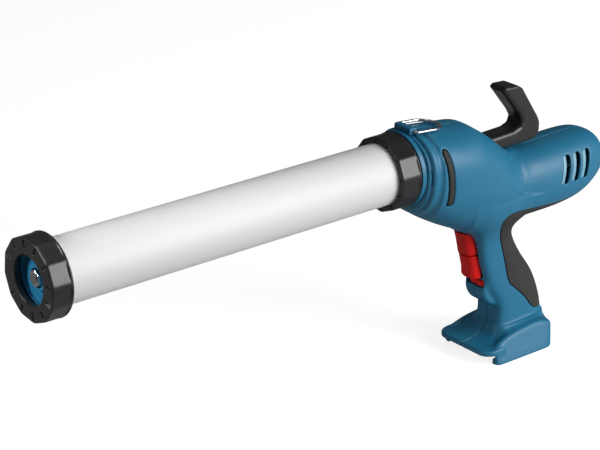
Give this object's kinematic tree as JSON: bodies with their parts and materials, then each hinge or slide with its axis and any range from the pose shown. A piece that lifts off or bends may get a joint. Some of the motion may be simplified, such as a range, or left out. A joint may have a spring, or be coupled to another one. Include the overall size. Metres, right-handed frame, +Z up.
{
  "type": "cordless caulking tool",
  "caption": "Battery caulking gun with a long metal sausage tube, screw-on cap, toothed push rod with pull hook, geared motor in a pistol body, trigger and slide-on battery foot.",
  "frame": {"origin": "centre of the front cap's mouth on the tube's axis, in the cap's front face", "axes": "+X back along the tube's axis, +Z up, -Y to the tool's left side"},
  "size_m": [0.6305, 0.0822, 0.2627],
  "materials": {
    "body_blue": "fine satin moulded nylon",
    "socket_blue": "satin moulded plastic",
    "trigger_red": "smooth moulded plastic",
    "black_plastic": "fine grained moulding",
    "soft_grip": "soft matt overmould",
    "seal_rubber": "smooth seal rubber",
    "machined_steel": "machined, oiled",
    "bright_steel": "bright zinc plate",
    "tube_aluminium": "satin anodised",
    "bronze": "plain bronze",
    "cast_frame": "die cast",
    "dark_steel": "black oxide",
    "board_green": "lacquered board"
  },
  "bodies": {
    "body": {"tube": "tube_aluminium", "tube_seal": "seal_rubber", "tube_socket": "socket_blue", "roller_pin": "bright_steel", "gearbox_ring": "dark_steel", "motor_can": "dark_steel", "motor_end_bell": "black_plastic", "rotor_bearings": "bright_steel", "front_guide": "cast_frame", "rear_guide": "cast_frame", "gear_plate_left": "cast_frame", "gear_plate_right": "cast_frame", "shaft_bushes": "bronze", "gearbox_bulkhead": "cast_frame", "switch_module": "black_plastic", "terminal_block": "black_plastic", "contact_blades": "bronze", "circuit_board": "board_green", "left_shell": "body_blue", "soft_grip_left": "soft_grip", "right_shell": "body_blue", "soft_grip_right": "soft_grip", "ring_lug": "body_blue", "shell_screws": "dark_steel"},
    "cap_ring": {"cap_seal": "seal_rubber"},
    "cap": {"front_cap": "black_plastic"},
    "nut_ring": {"nut_washer": "bright_steel"},
    "union_nut": {"rear_union_nut": "black_plastic"},
    "rod": {"push_rack": "machined_steel", "piston_plate": "socket_blue", "piston_wiper": "seal_rubber", "piston_washer": "bright_steel", "piston_nut": "bright_steel", "pull_hook": "black_plastic", "hook_bolt": "bright_steel", "hook_nut": "bright_steel"},
    "rack_drive": {"rack_shaft": "machined_steel", "rack_pinion": "machined_steel", "drive_gear": "machined_steel"},
    "clutch": {"clutch_shaft": "machined_steel", "idler_pinion": "machined_steel"},
    "sleeve": {"clutch_sleeve": "bronze"},
    "bevel": {"bevel_wheel": "machined_steel"},
    "carrier": {"planet_carrier": "machined_steel", "bevel_pinion": "machined_steel"},
    "planet_1": {"planet_gear_1": "machined_steel"},
    "planet_2": {"planet_gear_2": "machined_steel"},
    "planet_3": {"planet_gear_3": "machined_steel"},
    "rotor": {"motor_rotor": "dark_steel", "motor_pinion": "machined_steel", "motor_fan": "black_plastic"},
    "roller": {"guide_roller": "machined_steel"},
    "trigger": {"trigger": "trigger_red"},
    "safety": {"safety_trigger": "trigger_red"},
    "lock": {"lock_slide": "trigger_red"},
    "ring": {"hanging_ring": "bright_steel"}
  },
  "joints": [
    {"name": "cap_travel", "type": "slide", "parent": "body", "child": "cap_ring", "axis": [-1, 0, 0], "range_m": [0, 0.012]},
    {"name": "cap_turn", "type": "hinge", "parent": "cap_ring", "child": "cap", "pos_m": [0, 0, 0], "axis": [1, 0, 0], "range_deg": [0, 1080]},
    {"name": "nut_travel", "type": "slide", "parent": "body", "child": "nut_ring", "axis": [-1, 0, 0], "range_m": [0, 0.012]},
    {"name": "nut_turn", "type": "hinge", "parent": "nut_ring", "child": "union_nut", "pos_m": [0.37, 0, 0], "axis": [1, 0, 0], "range_deg": [0, 1080]},
    {"name": "rack_slide", "type": "slide", "parent": "body", "child": "rod", "axis": [1, 0, 0], "range_m": [0, 0.335]},
    {"name": "rack_shaft_spin", "type": "hinge", "parent": "body", "child": "rack_drive", "pos_m": [0.431, 0, -0.02], "axis": [0, 1, 0], "range_deg": [0, 1600.01]},
    {"name": "clutch_shaft_spin", "type": "hinge", "parent": "body", "child": "clutch", "pos_m": [0.43996, 0, -0.046], "axis": [0, 1, 0], "range_deg": [-3428.01, 0]},
    {"name": "clutch_shift", "type": "slide", "parent": "clutch", "child": "sleeve", "axis": [0, -1, 0], "range_m": [0, 0.003]},
    {"name": "roller_spin", "type": "hinge", "parent": "body", "child": "roller", "pos_m": [0.431, 0, 0.0143], "axis": [0, 1, 0], "range_deg": [-2742.51, 0]},
    {"name": "rotor_spin", "type": "hinge", "parent": "body", "child": "rotor", "pos_m": [0.5, 0, -0.046], "axis": [1, 0, 0], "continuous": true},
    {"name": "carrier_spin", "type": "hinge", "parent": "body", "child": "carrier", "pos_m": [0.47, 0, -0.046], "axis": [1, 0, 0], "continuous": true},
    {"name": "bevel_spin", "type": "hinge", "parent": "body", "child": "bevel", "pos_m": [0.43996, 0, -0.046], "axis": [0, 1, 0], "continuous": true},
    {"name": "trigger_pull", "type": "slide", "parent": "body", "child": "trigger", "axis": [1, 0, 0], "range_m": [0, 0.006], "stiffness_N_per_m": 600},
    {"name": "safety_pull", "type": "slide", "parent": "body", "child": "safety", "axis": [1, 0, 0], "range_m": [0, 0.004], "stiffness_N_per_m": 600},
    {"name": "lock_shift", "type": "slide", "parent": "body", "child": "lock", "axis": [0, 1, 0], "range_m": [0, 0.004]},
    {"name": "ring_swing", "type": "hinge", "parent": "body", "child": "ring", "pos_m": [0.3906, 0, 0.036], "axis": [0, -1, 0], "range_deg": [0, 150]},
    {"name": "planet_1_spin", "type": "hinge", "parent": "carrier", "child": "planet_1", "pos_m": [0.4736, 0, -0.0568], "axis": [1, 0, 0], "continuous": true},
    {"name": "planet_2_spin", "type": "hinge", "parent": "carrier", "child": "planet_2", "pos_m": [0.4736, 0.00935, -0.0406], "axis": [1, 0, 0], "continuous": true},
    {"name": "planet_3_spin", "type": "hinge", "parent": "carrier", "child": "planet_3", "pos_m": [0.4736, -0.00935, -0.0406], "axis": [1, 0, 0], "continuous": true}
  ],
  "couplings": [
    {"joint": "cap_travel", "follows": "cap_turn", "m_per_rad": 0.00063662},
    {"joint": "nut_travel", "follows": "nut_turn", "m_per_rad": 0.00063662},
    {"joint": "rack_shaft_spin", "follows": "rack_slide", "rad_per_m": 83.333},
    {"joint": "clutch_shaft_spin", "follows": "rack_slide", "rad_per_m": -178.57},
    {"joint": "roller_spin", "follows": "rack_slide", "rad_per_m": -142.86},
    {"joint": "carrier_spin", "follows": "rotor_spin", "ratio": 0.22222},
    {"joint": "bevel_spin", "follows": "rotor_spin", "ratio": 0.22222},
    {"joint": "planet_1_spin", "follows": "rotor_spin", "ratio": -0.62222},
    {"joint": "planet_2_spin", "follows": "rotor_spin", "ratio": -0.62222},
    {"joint": "planet_3_spin", "follows": "rotor_spin", "ratio": -0.62222}
  ]
}
